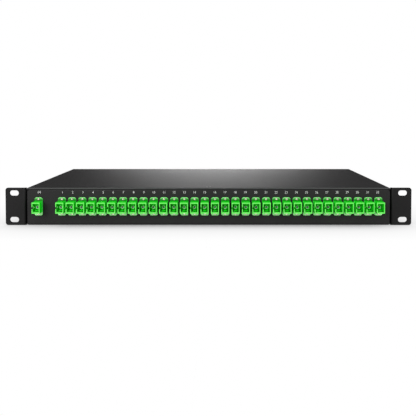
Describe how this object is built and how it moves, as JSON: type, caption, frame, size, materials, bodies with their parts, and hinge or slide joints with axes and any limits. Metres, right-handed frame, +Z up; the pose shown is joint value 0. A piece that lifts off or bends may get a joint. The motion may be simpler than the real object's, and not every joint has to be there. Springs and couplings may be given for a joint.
{
  "type": "rack-mount fibre splitter chassis",
  "caption": "One rack unit case of folded black sheet steel that splits one fibre into many, with a row of green keyed sockets in its front panel and slotted rack ears.",
  "frame": {"origin": "centre of the bottom of the whole part", "axes": "+X to the right seen from the front, the front faces -Y, +Z up"},
  "size_m": [0.4826, 0.2646, 0.0444],
  "materials": {
    "black_powder_coat": "fine matt powder coat",
    "plated_screw": "dark plated",
    "green_plastic": "moulded, satin",
    "sleeve_ceramic": "ground",
    "plug_plastic": "moulded",
    "fibre_jacket": "smooth",
    "tie_plastic": "moulded",
    "module_plastic": "fine texture",
    "foam_pad": "foam",
    "carrier_metal": "milled",
    "chip_glass": "polished"
  },
  "bodies": {
    "root": {"adapter_01": "green_plastic", "adapter_02": "green_plastic", "adapter_03": "green_plastic", "adapter_04": "green_plastic", "adapter_05": "green_plastic", "adapter_06": "green_plastic", "adapter_07": "green_plastic", "adapter_08": "green_plastic", "adapter_09": "green_plastic", "adapter_10": "green_plastic", "adapter_11": "green_plastic", "adapter_12": "green_plastic", "adapter_13": "green_plastic", "adapter_14": "green_plastic", "adapter_15": "green_plastic", "adapter_16": "green_plastic", "adapter_17": "green_plastic", "adapter_18": "green_plastic", "adapter_19": "green_plastic", "adapter_20": "green_plastic", "adapter_21": "green_plastic", "adapter_22": "green_plastic", "adapter_23": "green_plastic", "adapter_24": "green_plastic", "adapter_25": "green_plastic", "adapter_26": "green_plastic", "adapter_27": "green_plastic", "adapter_28": "green_plastic", "adapter_29": "green_plastic", "adapter_30": "green_plastic", "adapter_31": "green_plastic", "adapter_32": "green_plastic", "adapter_in": "green_plastic", "adapter_latch_holders": "green_plastic", "alignment_sleeves": "sleeve_ceramic", "cable_ties": "tie_plastic", "chassis_tray": "black_powder_coat", "chip_carrier": "carrier_metal", "cover_screw": "plated_screw", "input_fibre_array": "chip_glass", "input_pigtail": "fibre_jacket", "left_rack_ear": "black_powder_coat", "module_case": "module_plastic", "module_lid": "module_plastic", "module_pad": "foam_pad", "output_fibre_array": "chip_glass", "output_loom": "fibre_jacket", "output_ribbon": "fibre_jacket", "pigtail_plugs": "plug_plastic", "plc_chip": "chip_glass", "right_rack_ear": "black_powder_coat", "tie_mounts": "tie_plastic", "top_cover": "black_powder_coat"}
  },
  "joints": []
}
